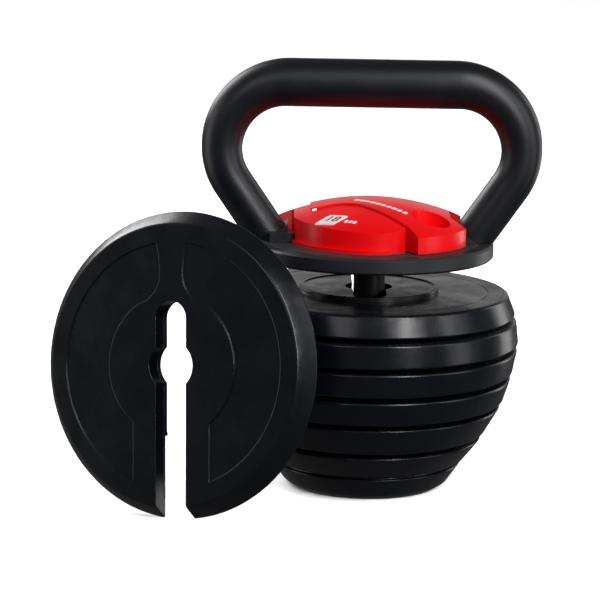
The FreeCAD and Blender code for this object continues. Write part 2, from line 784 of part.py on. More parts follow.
def head_blank():
    """Round head plate with holes for the spigot and the yoke's bushes."""
    edge = s.head_round
    body = doc.addObject("PartDesign::Body", "head_blank")
    sketch = new_sketch(body, "outline", "XZ_Plane")
    add_loop(sketch, [
        (ZERO, HEAD_LOW_Z),
        (s.head_r - edge, HEAD_LOW_Z),
        (s.head_r, HEAD_LOW_Z + edge),
        (s.head_r, HEAD_TOP_Z - edge),
        (s.head_r - edge, HEAD_TOP_Z),
        (ZERO, HEAD_TOP_Z),
    ])
    revolve(body, sketch)
    cut_through(body, "spigot", HEAD_LOW_Z, HEAD_TOP_Z, add_circle, s.spigot_r + s.key_fit)
    for side in (1, -1):
        cut_through(body, "bush", HEAD_LOW_Z, HEAD_TOP_Z, add_circle,
                    s.yoke_pin_r + s.yoke_play + s.bush_wall, (s.yoke_pin_x * side, ZERO))
    recess = new_sketch(body, "recess", "XY_Plane", HEAD_TOP_Z)
    add_circle(recess, s.pad_r)
    add_circle(recess, s.pad_r - PAD_RING)
    cut(body, recess, s.pad_thick, up=False)
    return body


PAD_RING = s.pad_r - s.pad_in_r


def head_plate():
    """Head plate with its leg seats cut square to the legs."""
    shape = head_blank().Shape.copy()
    for side in (1, -1):
        shape = shape.cut(leg_space(side, 0.0)).cut(bolt_space(side, s.key_fit.number))
        shape = shape.cut(bolt_head_space(side))
    return shaped("head_plate", shape)


def bolt_head_space(side):
    """Counterbore under the head for a handle bolt."""
    foot = handle_points()[3]
    down = Vec(LEG_DOWN.x * side, 0, LEG_DOWN.z)
    seat = Vec(foot.x * side, 0, foot.z) + down * s.head_thick.number * s.bolt_seat_share.number
    return Part.makeCylinder(s.handle_bolt_r.number * 1.8, s.head_thick.number * 2, seat, down)


def ribbed_pad():
    """Thin ring of rubber in the head's top, cut with parallel grooves."""
    low = HEAD_TOP_Z - s.pad_thick
    ring = doc.addObject("PartDesign::Body", "pad_ring")
    sketch = new_sketch(ring, "ring", "XY_Plane", low)
    add_circle(sketch, s.pad_r)
    add_circle(sketch, s.pad_r - PAD_RING)
    pad(ring, sketch, s.pad_thick)
    shape = ring.Shape.copy()
    pitch = s.rib_pitch.number
    width = s.rib_cut.number
    reach = s.pad_r.number
    turn = FreeCAD.Rotation(Vec(0, 0, 1), s.rib_turn.number)
    bars = []
    for index in range(-int(reach / pitch), int(reach / pitch) + 1):
        bar = Part.makeBox(2 * reach, width, s.pad_thick.number)
        bar.translate(Vec(-reach, index * pitch - width / 2, low.number + s.pad_thick.number / 2))
        bar.Placement = FreeCAD.Placement(Vec(), turn).multiply(bar.Placement)
        bars.append(bar)
    shape = shape.cut(bars)
    for side in (1, -1):
        shape = shape.cut(leg_space(side, s.key_fit.number))
        shape = shape.cut(bolt_space(side, s.key_fit.number))
    return shaped("ribbed_pad", shape)


def lug_blank(side):
    """Block on the head under one leg, before it is trimmed square to the leg."""
    foot = handle_points()[3]
    corner = foot - ACROSS_LEG * s.leg_r.number
    near = corner.x - s.lug_in.number
    far = foot.x + 4.0
    wide = s.lug_half.number
    high = corner.z + s.lug_in.number - HEAD_TOP_Z.number
    box = Part.makeBox(far - near, 2 * wide, high, Vec(near, -wide, HEAD_TOP_Z.number))
    return box if side > 0 else mirrored(box)


def handle_lugs():
    """Two wedges on the head that back the legs' inner sides."""
    solids = []
    for side in (1, -1):
        foot = handle_points()[3]
        up = Vec(-LEG_DOWN.x * side, 0, -LEG_DOWN.z)
        start = Vec(foot.x * side, 0, foot.z)
        above = Part.makeCylinder(4 * s.leg_r.number, 4 * s.leg_r.number, start, up)
        wedge = lug_blank(side).cut(above).cut(bolt_space(side, s.key_fit.number))
        solids.append(wedge)
    return shaped("handle_lugs", Part.makeCompound(solids))


def handle_bolts():
    """Two bolts up through the head into the legs' plugs."""
    solids = []
    radius = s.handle_bolt_r.number
    for side in (1, -1):
        foot = handle_points()[3]
        down = Vec(LEG_DOWN.x * side, 0, LEG_DOWN.z)
        seat = Vec(foot.x * side, 0, foot.z) + down * s.head_thick.number * s.bolt_seat_share.number
        reach = s.head_thick.number * s.bolt_seat_share.number + s.tube_wall.number * 2
        shank = Part.makeCylinder(radius, reach, seat - down * reach, down)
        head = Part.makeCylinder(radius * 1.6, radius * 0.5, seat, down)
        solids.append(shank.fuse(head))
    return shaped("handle_bolts", Part.makeCompound(solids))


# ---- covers, lever and its hinge ----

DOME_SPHERE_R = (s.dome_rim_r.number ** 2 + s.dome_rim_rise.number ** 2) / (2 * s.dome_rim_rise.number)
DOME_TOP_Z = HEAD_TOP_Z.number + s.dome_rise.number
DOME_MIDDLE = Vec(0, 0, DOME_TOP_Z - DOME_SPHERE_R)


def dome(drop):
    """Everything under the domed top surface, lowered by drop, down to the head."""
    ball = Part.makeSphere(DOME_SPHERE_R - drop, DOME_MIDDLE)
    low = HEAD_TOP_Z.number
    slab = Part.makeCylinder(2 * s.lever_r.number, 2 * s.dome_rise.number, Vec(0, 0, low))
    return ball.common(slab)


def on_ring(radius, degrees):
    """A point at a plan radius and bearing."""
    angle = math.radians(degrees)
    return Vec(radius * math.cos(angle), radius * math.sin(angle), 0)


def prism(wire, low, high):
    """An outline pulled up between two heights."""
    face = Part.Face(wire)
    face.translate(Vec(0, 0, low))
    return face.extrude(Vec(0, 0, high - low))


def arc(start, middle, end):
    return Part.Arc(start, middle, end).toShape()


def line(start, end):
    return Part.LineSegment(start, end).toShape()


# The parting line in plan: front end, end of its straight, middle of its bend, end of the bend.
COVER_PARTING = [Vec(23, -57, 0), Vec(-4, -28, 0), Vec(-14, -20, 0), Vec(-26, -16.4, 0)]
LEVER_PARTING = [Vec(25.5, -57.5, 0), Vec(-2.4, -26.5, 0), Vec(-13, -17.9, 0), Vec(-26, -14.2, 0)]
PARTING_SLOPE_Y = 1.4
# The front cover's outer edge in plan, from its left corner to its right end.
COVER_FRONT = [Vec(-55, -19, 0), Vec(-34, -53.5, 0), Vec(-2, -67.5, 0), Vec(11, -65.5, 0), Vec(23, -59, 0)]
LEVER_TOE = Vec(31.5, -68.5, 0)
# Inside of the strip along the parting and the hinge edge where the lever has skin but no wall.
OPEN_STRIP = [Vec(22, -50, 0), Vec(22, -47, 0), Vec(12, -38, 0), Vec(0, -23, 0), Vec(-14, -13, 0),
              Vec(-33, -10, 0), Vec(-33, 60, 0), Vec(-45, 60, 0), Vec(-45, -50, 0)]


def parting(points, edge_x):
    """The parting line's edges, from its front end to the edge above the hinge."""
    front, straight_end, bend, bend_end = points
    left = Vec(edge_x, bend_end.y - PARTING_SLOPE_Y, 0)
    edges = [line(front, straight_end), arc(straight_end, bend, bend_end), line(bend_end, left)]
    return edges, left


def front_outline():
    """Plan of the fixed front cover, with its arm over the hinge."""
    corner, bow, bottom, turn, right = COVER_FRONT
    edges, left = parting(COVER_PARTING, -s.cover_edge_x.number)
    end_y = s.cover_end_y.number
    near = Vec(-s.cover_edge_x.number, end_y, 0)
    far = Vec(corner.x, end_y, 0)
    return Part.Wire([
        arc(corner, bow, bottom),
        arc(bottom, turn, right),
        line(right, COVER_PARTING[0]),
        *edges,
        line(left, near),
        line(near, far),
        line(far, corner),
    ])


def lever_outline():
    """Plan of the lever: right wing, notch for the right leg, and the back as far as the hinge."""
    edges, left = parting(LEVER_PARTING, -s.lever_edge_x.number)
    radius = s.lever_r.number
    notch_x, notch_y = s.leg_notch_x.number, s.leg_notch_y.number
    wing_x, wing_y = s.wing_x.number, s.wing_y.number
    back = Vec(left.x, math.sqrt(radius ** 2 - left.x ** 2), 0)
    return Part.Wire([
        *edges,
        line(left, back),
        arc(back, on_ring(radius, 80), Vec(wing_x, wing_y, 0)),
        line(Vec(wing_x, wing_y, 0), Vec(notch_x, notch_y, 0)),
        line(Vec(notch_x, notch_y, 0), Vec(notch_x, -notch_y, 0)),
        line(Vec(notch_x, -notch_y, 0), Vec(wing_x, -wing_y, 0)),
        arc(Vec(wing_x, -wing_y, 0), on_ring(radius, -47), LEVER_TOE),
        line(LEVER_TOE, LEVER_PARTING[0]),
    ])


def rear_outline():
    """Plan of the small fixed cover behind the left leg."""
    radius = s.lever_r.number
    near_y = (s.cover_end_y + s.end_gap).number
    edge_x = -s.cover_edge_x.number
    back = Vec(edge_x, math.sqrt(radius ** 2 - edge_x ** 2), 0)
    wing = Vec(-s.wing_x.number, s.wing_y.number, 0)
    notch = Vec(-s.leg_notch_x.number, near_y, 0)
    return Part.Wire([
        line(Vec(edge_x, near_y, 0), back),
        arc(back, on_ring(radius, 142), wing),
        line(wing, notch),
        line(notch, Vec(edge_x, near_y, 0)),
    ])


def domed_shell(wire, drop, low):
    """A cover of even wall under the dome, open below."""
    wall = s.cover_wall.number
    top = DOME_TOP_Z + 5
    inside = wire.makeOffset2D(-wall)
    outer = prism(wire, low, top).common(dome(drop))
    inner = prism(inside, low - 1, top).common(dome_below(drop + wall))
    return outer.cut(inner)


def dome_below(drop):
    """The space under the dome, carried on down through the head."""
    ball = Part.makeSphere(DOME_SPHERE_R - drop, DOME_MIDDLE)
    slab = Part.makeCylinder(2 * s.lever_r.number, 4 * s.dome_rise.number,
                             Vec(0, 0, HEAD_TOP_Z.number - 5))
    return ball.common(slab)


def box_between(low, high):
    """A plain box between two corners."""
    return Part.makeBox(high[0] - low[0], high[1] - low[1], high[2] - low[2], Vec(*low))


def strap_room(extra):
    """The room of the bracket's strap where it enters the front cover."""
    low = HEAD_TOP_Z.number
    return box_between((-s.strap_left_x.number, -s.strap_far_y.number - extra, low - 1),
                       (s.hinge_x.number - 1, -s.strap_near_y.number + extra,
                        low + s.strap_high.number + extra))


def front_flange():
    """Low flange round the front cover's foot."""
    corner, bow, bottom, turn, right = COVER_FRONT
    out = s.flange_out.number

    def outward(point):
        return point + Vec(point).normalize() * out

    edge = [outward(point) for point in (corner, bow, bottom, turn)]
    end = Vec(turn.x, turn.y / 2, 0)
    wire = Part.Wire([arc(*edge[:3]), line(edge[2], edge[3]), line(edge[3], end), line(end, edge[0])])
    low = HEAD_TOP_Z.number
    return prism(wire, low, low + s.flange_high.number)


def front_cover():
    """Fixed red cover at the front left, a step lower than the lever, with screw posts."""
    wire = front_outline()
    low = HEAD_TOP_Z.number
    drop = s.front_step.number
    wall = s.cover_wall.number
    shape = domed_shell(wire, drop, low)
    inside = prism(wire.makeOffset2D(-wall), low - 1, DOME_TOP_Z)
    lever_side = prism(lever_outline(), low - 1, DOME_TOP_Z)
    shape = shape.fuse(front_flange().cut(inside).cut(lever_side))
    edge_x = -s.cover_edge_x.number
    open_side = box_between((edge_x - wall - 0.2, COVER_PARTING[3].y - 1, low - 1),
                            (edge_x + 1, s.cover_end_y.number - wall - 0.4, DOME_TOP_Z))
    shape = shape.cut(open_side.common(dome_below(drop + wall)))
    shape = shape.cut(strap_room(0.3))
    top = dome_below(drop + 1.0)
    for place in SCREW_PLACES:
        post = Part.makeCylinder(3.4, s.dome_rise.number, Vec(place.x, place.y, low))
        shape = shape.fuse(post.common(top))
    for place in SCREW_PLACES:
        shape = shape.cut(Part.makeCylinder(1.6, 9, Vec(place.x, place.y, low - 1)))
    return shaped("front_cover", shape)


SCREW_PLACES = [Vec(-24.5, -51, 0), Vec(-42, -33, 0), Vec(12, -55, 0)]


def rear_cover():
    """Small fixed red cover behind the left leg."""
    shell = domed_shell(rear_outline(), s.front_step.number, HEAD_TOP_Z.number)
    return shaped("rear_cover", shell)


def cover_screws():
    """Screws up through the head into the front cover's posts."""
    solids = []
    for place in SCREW_PLACES:
        shank = Part.makeCylinder(1.6, 8, Vec(place.x, place.y, HEAD_TOP_Z.number))
        solids.append(shank)
    return shaped("cover_screws", Part.makeCompound(solids))


def badge():
    """Slanted name plate, curved to lie on the front cover's dome."""
    half_x = s.badge_wide.number / 2
    half_y = s.badge_deep.number / 2
    middle = Vec(s.badge_x.number, s.badge_y.number, 0)
    slant = half_y * 0.45
    corners = [Vec(-half_x - slant, -half_y, 0), Vec(half_x - slant, -half_y, 0),
               Vec(half_x + slant, half_y, 0), Vec(-half_x + slant, half_y, 0)]
    turn = FreeCAD.Rotation(Vec(0, 0, 1), -24)
    corners = [middle + turn.multVec(corner) for corner in corners]
    wire = Part.makePolygon(corners + corners[:1])
    column = prism(wire, HEAD_TOP_Z.number, DOME_TOP_Z)
    drop = s.front_step.number
    over = column.common(dome(drop - s.badge_thick.number))
    return shaped("badge", over.cut(dome(drop)))


def lever_rib(side):
    """One rib under the lever: an eye for the hinge pin and a hold for the lift pin."""
    y_low = s.yoke_half_y.number + 1.0
    thick = s.rib_thick.number
    if side < 0:
        y_low = -y_low - thick
    hinge_x, hinge_z = s.hinge_x.number, HINGE_Z.number
    lift_x = hinge_x + s.lift_arm.number
    low = lift_z() - 4.0
    radius = s.knuckle_r.number
    eye = Part.makeCylinder(radius, thick, Vec(hinge_x, y_low, hinge_z), Vec(0, 1, 0))
    arm = box_between((hinge_x, y_low, low), (lift_x + 5, y_low + thick, hinge_z + 3.8))
    stem = box_between((lift_x - 5.5, y_low, low), (lift_x + 5, y_low + thick, DOME_TOP_Z))
    return eye.fuse(arm).fuse(stem.common(dome(s.cover_wall.number / 2)))


def hinge_lip():
    """Thin lip of the lever's skin that covers the gap over the hinge edge."""
    thin = dome(0.0).cut(dome(s.lever_lip.number))
    back_y = math.sqrt(s.lever_r.number ** 2 - s.lever_lip_x.number ** 2) - 1
    low_y = LEVER_PARTING[3].y - PARTING_SLOPE_Y + 1
    strip = box_between((-s.lever_lip_x.number, low_y, HEAD_TOP_Z.number),
                        (-s.lever_edge_x.number + 1, back_y, DOME_TOP_Z))
    return thin.common(strip)


def finger_well(extra):
    """The room of the finger well, or its outside when extra is its wall."""
    floor_z = HEAD_TOP_Z.number + s.finger_floor_rise.number - extra
    place = Vec(s.finger_x.number, s.finger_y.number, floor_z)
    return Part.makeCylinder(s.finger_r.number + extra, 60, place)


def lever_shape():
    """Domed lever with its finger well and the two ribs that carry its pins."""
    low = HEAD_TOP_Z.number + s.floor_gap.number
    wall = s.cover_wall.number
    shape = domed_shell(lever_outline(), 0.0, low)
    strip = prism(Part.makePolygon(OPEN_STRIP + OPEN_STRIP[:1]), low - 1, DOME_TOP_Z)
    shape = shape.cut(strip.common(dome_below(wall)))
    shape = shape.fuse(finger_well(s.finger_wall.number).common(dome(0.0)))
    shape = shape.cut(finger_well(0.0)).fuse(hinge_lip())
    for side in (1, -1):
        shape = shape.fuse(lever_rib(side))
    hole_r = s.hinge_pin_r.number + s.pin_play.number
    reach = 2 * s.cover_left_x.number
    hole = Part.makeCylinder(hole_r, reach, Vec(s.hinge_x.number, -reach / 2, HINGE_Z.number),
                             Vec(0, 1, 0))
    return shape.cut(hole).cut(lift_pin_shape())


def lift_z():
    """Height of the lift pin's axis, just under the yoke's bridge."""
    bridge = HEAD_TOP_Z + s.nut_high + s.yoke_over_nut
    return (bridge - s.lift_play - s.lift_pin_r).number


def lift_pin_shape():
    """Cross pin that the lever lifts the yoke with."""
    half = s.yoke_half_y.number + 1.0 + s.rib_thick.number
    lift_x = s.hinge_x.number + s.lift_arm.number
    return Part.makeCylinder(s.lift_pin_r.number, 2 * half, Vec(lift_x, -half, lift_z()), Vec(0, 1, 0))


def lock_lever():
    return shaped("lock_lever", lever_shape())


def lift_pin():
    return shaped("lift_pin", lift_pin_shape())


def hinge_bracket():
    """Black bracket in the front cover's arm: two ears, and a strap out by the left leg."""
    radius = s.knuckle_r
    ear_out = s.ear_in + s.ear_thick
    low = HEAD_TOP_Z
    floor_top = low + s.bracket_floor
    left = s.hinge_x - radius
    right = s.hinge_x + radius
    link_right = -s.cover_edge_x - s.cover_wall - 0.8
    pieces = [
        block("bracket_floor", (left, -ear_out, low), (right, ear_out, floor_top)),
        block("bracket_link", (left - 0.8, -s.strap_far_y, low), (link_right, -s.ear_in, floor_top)),
        block("bracket_strap", (-s.strap_left_x, -s.strap_far_y, low),
              (left + 1, -s.strap_near_y, low + s.strap_high)),
    ]
    for side in (1, -1):
        low_y = s.ear_in if side > 0 else -ear_out
        pieces.append(block("bracket_ear", (left, low_y, low), (right, low_y + s.ear_thick, HINGE_Z)))
        pieces.append(cross_cylinder("bracket_eye", radius, s.ear_thick / 2, s.hinge_x, HINGE_Z,
                                     low_y + s.ear_thick / 2))
    fused = joined_solids("bracket_blank", pieces)
    hole = cross_cylinder("bracket_hole", s.hinge_pin_r, ear_out + 1, s.hinge_x, HINGE_Z)
    return keep(minus("hinge_bracket", fused, hole), "hinge_bracket")


def hinge_pin():
    """Steel pin through the bracket's ears and the eyes of the lever's ribs."""
    half = s.yoke_half_y + 1 + s.rib_thick + s.pin_end
    return keep(cross_cylinder("hinge_pin", s.hinge_pin_r, half, s.hinge_x, HINGE_Z), "hinge_pin")


def lever_spring():
    """Coil round the hinge pin, between the bracket's ears, that presses the lever shut."""
    wire = s.spring_wire_r.number
    radius = s.knuckle_r.number - wire
    turns = s.spring_turns.number
    pitch = s.spring_pitch.number
    helix = Part.makeHelix(pitch, pitch * turns, radius)
    start = Vec(radius, 0, 0)
    ring = Part.Wire([Part.Circle(start, Vec(0, 1, 0), wire).toShape()])
    coil = Part.Wire(helix.Edges).makePipeShell([ring], True, True)
    coil.rotate(Vec(), Vec(1, 0, 0), -90)
    feature = shaped("lever_spring", coil)
    place = Vec(s.hinge_x.number, -pitch * turns / 2, HINGE_Z.number)
    feature.Placement = FreeCAD.Placement(place, FreeCAD.Rotation()).multiply(feature.Placement)
    return feature


def lock_yoke():
    """Bridge over the shaft's nut with two pins that reach down through the head."""
    bridge = HEAD_TOP_Z + s.nut_high + s.yoke_over_nut
    right = s.yoke_pin_x + s.yoke_pin_r + 2
    plate_block = block("yoke_bridge", (-s.yoke_left, -s.yoke_half_y, bridge),
                        (right, s.yoke_half_y, bridge + s.yoke_thick))
    pieces = [plate_block]
    for side in (1, -1):
        pieces.append(cylinder("yoke_leg", s.yoke_pin_r, HEAD_LOW_Z - s.yoke_below,
                               bridge + s.yoke_thick, s.yoke_pin_x * side))
    return keep(joined_solids("lock_yoke", pieces), "lock_yoke")


def yoke_bushes():
    """Two plain bushes in the head for the yoke's pins."""
    bushes = []
    for side in (1, -1):
        x = s.yoke_pin_x * side
        outer = cylinder("bush_outer", s.yoke_pin_r + s.yoke_play + s.bush_wall, HEAD_LOW_Z,
                         HEAD_TOP_Z, x)
        inner = cylinder("bush_inner", s.yoke_pin_r + s.yoke_play, HEAD_LOW_Z - 1, HEAD_TOP_Z + 1, x)
        bushes.append(minus("bush", outer, inner))
    return keep(grouped("yoke_bushes", bushes), "yoke_bushes")


# ---- build, check and write ----

def build():
    """Make every sub-part."""
    base_shell()
    base_iron()
    base_lid()
    foot_ring()
    shaft()
    shaft_nut()
    shaft_bolt()
    shaft_washer()
    for number, word in WORDS.items():
        plate(f"plate_{number}", PLATE_Z[number], f"plate_{word}")
    stand_loose_plate(plate("loose_plate", ZERO, "loose"))
    head_plate()
    ribbed_pad()
    handle()
    handle_lugs()
    handle_bolts()
    front_cover()
    rear_cover()
    cover_screws()
    badge()
    lock_lever()
    lift_pin()
    hinge_bracket()
    hinge_pin()
    lever_spring()
    lock_yoke()
    yoke_bushes()
    doc.recompute()


def check_and_write():
    """Stop on any failed object or bad solid, then write one STEP file per sub-part."""
    for item in doc.Objects:
        if "Invalid" in item.State or "Error" in item.State:
            raise ValueError(f"{item.Label} failed")
    os.makedirs("parts", exist_ok=True)
    for part in PARTS:
        shape = part.Shape
        if shape.isNull() or not shape.isValid() or not shape.Solids:
            raise ValueError(f"{part.Label} is not a valid solid")
        shape.exportStep(f"parts/{part.Label}.step")
        print(f"{part.Label}: {len(shape.Solids)} solid, {shape.Volume / 1000:.1f} cm3")


build()
check_and_write()
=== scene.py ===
"""Looks of an adjustable kettlebell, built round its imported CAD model.

Metres, +Z up, origin on the floor under the shaft. -Y is the side that the camera stands on.
"""

import json
import logging
import math
from dataclasses import dataclass, field
from enum import Enum

import bmesh
import bpy
from mathutils import Matrix, Vector


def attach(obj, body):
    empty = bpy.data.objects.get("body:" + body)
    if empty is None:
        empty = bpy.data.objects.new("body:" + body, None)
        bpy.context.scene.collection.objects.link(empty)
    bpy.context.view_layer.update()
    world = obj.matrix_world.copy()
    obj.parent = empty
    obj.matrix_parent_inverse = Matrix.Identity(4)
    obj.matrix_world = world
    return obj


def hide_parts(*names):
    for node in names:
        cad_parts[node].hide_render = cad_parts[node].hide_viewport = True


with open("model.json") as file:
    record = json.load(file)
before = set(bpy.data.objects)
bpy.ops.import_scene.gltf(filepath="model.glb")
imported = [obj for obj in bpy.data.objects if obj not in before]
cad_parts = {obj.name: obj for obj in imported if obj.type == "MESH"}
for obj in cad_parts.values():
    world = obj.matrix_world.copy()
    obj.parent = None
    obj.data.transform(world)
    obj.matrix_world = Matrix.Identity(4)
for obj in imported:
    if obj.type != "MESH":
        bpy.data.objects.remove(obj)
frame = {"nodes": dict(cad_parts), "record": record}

log = logging.getLogger("kettlebell")
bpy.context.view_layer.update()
MM = 0.001


# ---- colour and node helpers ----

def linear(hex_colour: str) -> tuple[float, float, float, float]:
    """Turn an sRGB hex colour to the linear values that a shader takes.

    Args:
        hex_colour: Six hex digits, with or without a leading hash.

    Returns:
        Red, green, blue and an alpha of 1.
    """
    digits = hex_colour.lstrip("#")
    values = [int(digits[i:i + 2], 16) / 255 for i in (0, 2, 4)]
    lin = [v / 12.92 if v <= 0.04045 else ((v + 0.055) / 1.055) ** 2.4 for v in values]
    return (lin[0], lin[1], lin[2], 1.0)


def add_node(tree: bpy.types.NodeTree, kind: str, inputs: dict | None = None,
             **settings: object) -> bpy.types.Node:
    """Add a node, set its settings, and set or link its inputs.

    Args:
        tree: The node tree that takes the node.
        kind: The node's type name.
        inputs: Input name or index to a value, or to an output socket that is linked.
        settings: The node's own properties.

    Returns:
        The new node.
    """
    node = tree.nodes.new(kind)
    for name, value in settings.items():
        setattr(node, name, value)
    for name, value in (inputs or {}).items():
        if isinstance(value, bpy.types.NodeSocket):
            tree.links.new(value, node.inputs[name])
        else:
            node.inputs[name].default_value = value
    return node


# ---- finishes ----

class Grain(Enum):
    """How the fine relief of a surface was made."""

    SPARK = "spark-eroded mould texture"
    ORANGE_PEEL = "sprayed and baked powder"
    SAND = "sand casting"
    DRAWN = "drawn or turned metal"


@dataclass(frozen=True)
class Finish:
    """One surface finish: its colours, its gloss, and its relief at real size.

    Attributes:
        name: What the material is called in a workshop.
        colour: Main sRGB colour.
        worn: sRGB colour of the lighter patches.
        roughness: Middle of the gloss range.
        gloss_spread: How far the roughness drifts from place to place.
        metallic: 1 for bare metal.
        grain: How the relief was made.
        grain_mm: Size of one grain.
        depth_mm: Height of one grain.
        coat: Strength of the clear skin on top.
        coat_roughness: Roughness of that skin.
        ior: Refractive index, left at the default for metals.
    """

    name: str
    colour: str
    worn: str
    roughness: float
    gloss_spread: float = 0.05
    metallic: float = 0.0
    grain: Grain = Grain.SPARK
    grain_mm: float = 0.8
    depth_mm: float = 0.02
    coat: float = 0.0
    coat_roughness: float = 0.1
    ior: float = 1.5

    def build(self) -> bpy.types.Material:
        """Make the procedural material for this finish.

        Returns:
            The new material.
        """
        material = bpy.data.materials.new(self.name)
        material.use_nodes = True
        tree = material.node_tree
        tree.nodes.clear()
        place = add_node(tree, "ShaderNodeTexCoord").outputs["Object"]
        stretch = (1.0, 1.0, 1.0) if self.grain is not Grain.DRAWN else (1.0, 1.0, 0.06)
        placed = add_node(tree, "ShaderNodeMapping", {"Vector": place, "Scale": stretch}).outputs[0]
        drift = add_node(tree, "ShaderNodeTexNoise", {
            "Vector": placed, "Scale": 1 / (28 * MM), "Detail": 4.0, "Roughness": 0.6,
        }).outputs["Fac"]
        fine = add_node(tree, "ShaderNodeTexNoise", {
            "Vector": placed, "Scale": 1 / (self.grain_mm * MM), "Detail": 2.0, "Roughness": 0.55,
        }).outputs["Fac"]
        tint = add_node(tree, "ShaderNodeMix", data_type="RGBA")
        spread = add_node(tree, "ShaderNodeMapRange", {
            "Value": drift, "From Min": 0.3, "From Max": 0.75, "To Min": 0.0, "To Max": 1.0,
        }).outputs[0]
        tree.links.new(spread, tint.inputs["Factor"])
        tint.inputs["A"].default_value = linear(self.colour)
        tint.inputs["B"].default_value = linear(self.worn)
        gloss = add_node(tree, "ShaderNodeMapRange", {
            "Value": drift, "From Min": 0.3, "From Max": 0.7,
            "To Min": max(0.02, self.roughness - self.gloss_spread),
            "To Max": self.roughness + self.gloss_spread,
        }).outputs[0]
        relief = self.relief(tree, placed, fine)
        bump = add_node(tree, "ShaderNodeBump", {
            "Height": relief, "Distance": self.depth_mm * MM, "Strength": 1.0,
        }).outputs[0]
        shader = add_node(tree, "ShaderNodeBsdfPrincipled", {
            "Base Color": tint.outputs["Result"], "Roughness": gloss, "Normal": bump,
            "Metallic": self.metallic, "Coat Weight": self.coat,
            "Coat Roughness": self.coat_roughness,
        })
        if self.metallic < 0.5:
            shader.inputs["IOR"].default_value = self.ior
        add_node(tree, "ShaderNodeOutputMaterial", {"Surface": shader.outputs[0]})
        return material

    def relief(self, tree: bpy.types.NodeTree, placed: bpy.types.NodeSocket,
               fine: bpy.types.NodeSocket) -> bpy.types.NodeSocket:
        """Height of the fine relief for this grain.

        Args:
            tree: The material's tree.
            placed: The mapped place on the piece.
            fine: Noise at the grain's size.

        Returns:
            The height, 0 to 1.
        """
        if self.grain in (Grain.SPARK, Grain.DRAWN):
            return fine
        cells = add_node(tree, "ShaderNodeTexVoronoi", {
            "Vector": placed, "Scale": 1 / (self.grain_mm * MM), "Randomness": 1.0,
        }, feature="SMOOTH_F1").outputs["Distance"]
        mixed = add_node(tree, "ShaderNodeMath", {0: cells, 1: fine}, operation="ADD")
        return mixed.outputs[0]


# Semi-gloss ABS from a spark-eroded mould: blue-black, with soft broad highlights.
SHELL_ABS = Finish("spark_moulded_black_abs", "07090f", "0a0d13", 0.27, 0.04, grain_mm=0.9,
                   depth_mm=0.010, ior=1.42)
# The same ABS on the lids, rubbed by plates sliding over it, so glossier and scuffed.
LID_ABS = Finish("rubbed_black_abs", "0b0c0f", "131417", 0.30, 0.10, grain_mm=1.4, depth_mm=0.01,
                 ior=1.42)
# Powder coat baked on steel tube: pebbled, with a dull sparkle.
POWDER = Finish("baked_black_powder_coat", "080a11", "0c0e15", 0.40, 0.04,
                grain=Grain.ORANGE_PEEL, grain_mm=1.1, depth_mm=0.06, ior=1.47)
# Coarser coat on the die-cast head.
HEAD_COAT = Finish("textured_black_casting_coat", "15171c", "1b1d23", 0.45, 0.05,
                   grain=Grain.ORANGE_PEEL, grain_mm=1.3, depth_mm=0.07, ior=1.5)
# Glossy ABS coloured right through; a polished mould leaves a clear sheen.
RED_ABS = Finish("polished_red_abs", "f0040c", "f40811", 0.32, 0.03, grain_mm=2.5, depth_mm=0.006,
                 ior=1.33, coat=0.05, coat_roughness=0.12)
# Blackened bar: dark oxide over drawn steel.
OXIDE = Finish("black_oxide_steel", "0c0d0f", "141518", 0.34, 0.08, metallic=0.0,
               grain=Grain.DRAWN, grain_mm=0.8, depth_mm=0.01, ior=1.4)
# Bright plating over turned steel: cool grey with fine rings.
ZINC = Finish("zinc_plated_steel", "b9bbbd", "8f9295", 0.33, 0.1, metallic=1.0, grain=Grain.DRAWN,
              grain_mm=0.7, depth_mm=0.008)
# Rough casting straight from the sand: dull, with a brown cast.
IRON = Finish("sand_cast_iron", "3a3a3a", "4a4643", 0.72, 0.1, metallic=0.6, grain=Grain.SAND,
              grain_mm=1.6, depth_mm=0.12)
# Moulded rubber: almost no highlight.
RUBBER = Finish("matt_black_rubber", "26272a", "2f3033", 0.7, 0.06, grain_mm=0.6, depth_mm=0.02,
                ior=1.5)
# Turned bearing brass with fine tool rings.
BRASS = Finish("turned_brass", "b08d4a", "94753a", 0.32, 0.08, metallic=1.0, grain=Grain.DRAWN,
               grain_mm=0.5, depth_mm=0.006)
# Screen-printed white: flat, a little soft.
WHITE_PRINT = Finish("white_screen_print", "f4f4f2", "ececea", 0.4, 0.03, grain_mm=1.0,
                     depth_mm=0.004)
# Screen-printed dark red for the badge's digits.
RED_PRINT = Finish("dark_red_screen_print", "8c0a12", "9a0c14", 0.4, 0.03, grain_mm=1.0,
                   depth_mm=0.004)

SLOT_FINISH = {
    "black_shell": SHELL_ABS, "powder_coat": POWDER, "head_coat": HEAD_COAT,
    "red_plastic": RED_ABS, "black_steel": OXIDE, "zinc_steel": ZINC, "iron": IRON,
    "rubber": RUBBER, "brass": BRASS, "badge_face": WHITE_PRINT,
}


class Paintbox:
    """Builds each finish once and hands out its material."""

    def __init__(self) -> None:
        """Start with nothing built."""
        self.made: dict[str, bpy.types.Material] = {}

    def of(self, finish: Finish) -> bpy.types.Material:
        """The material for a finish."""
        if finish.name not in self.made:
            self.made[finish.name] = finish.build()
        return self.made[finish.name]


PAINTS = Paintbox()


def dress(piece: bpy.types.Object, finish: Finish) -> None:
    """Give a piece one finish all over."""
    piece.data.materials.clear()
    piece.data.materials.append(PAINTS.of(finish))


# ---- mesh helpers ----

def node_body(node: str) -> str:
    """The body that holds a CAD node."""
    bodies = frame["record"]["behaviour"]["bodies"]
    return next(name for name, members in bodies.items() if node in members)


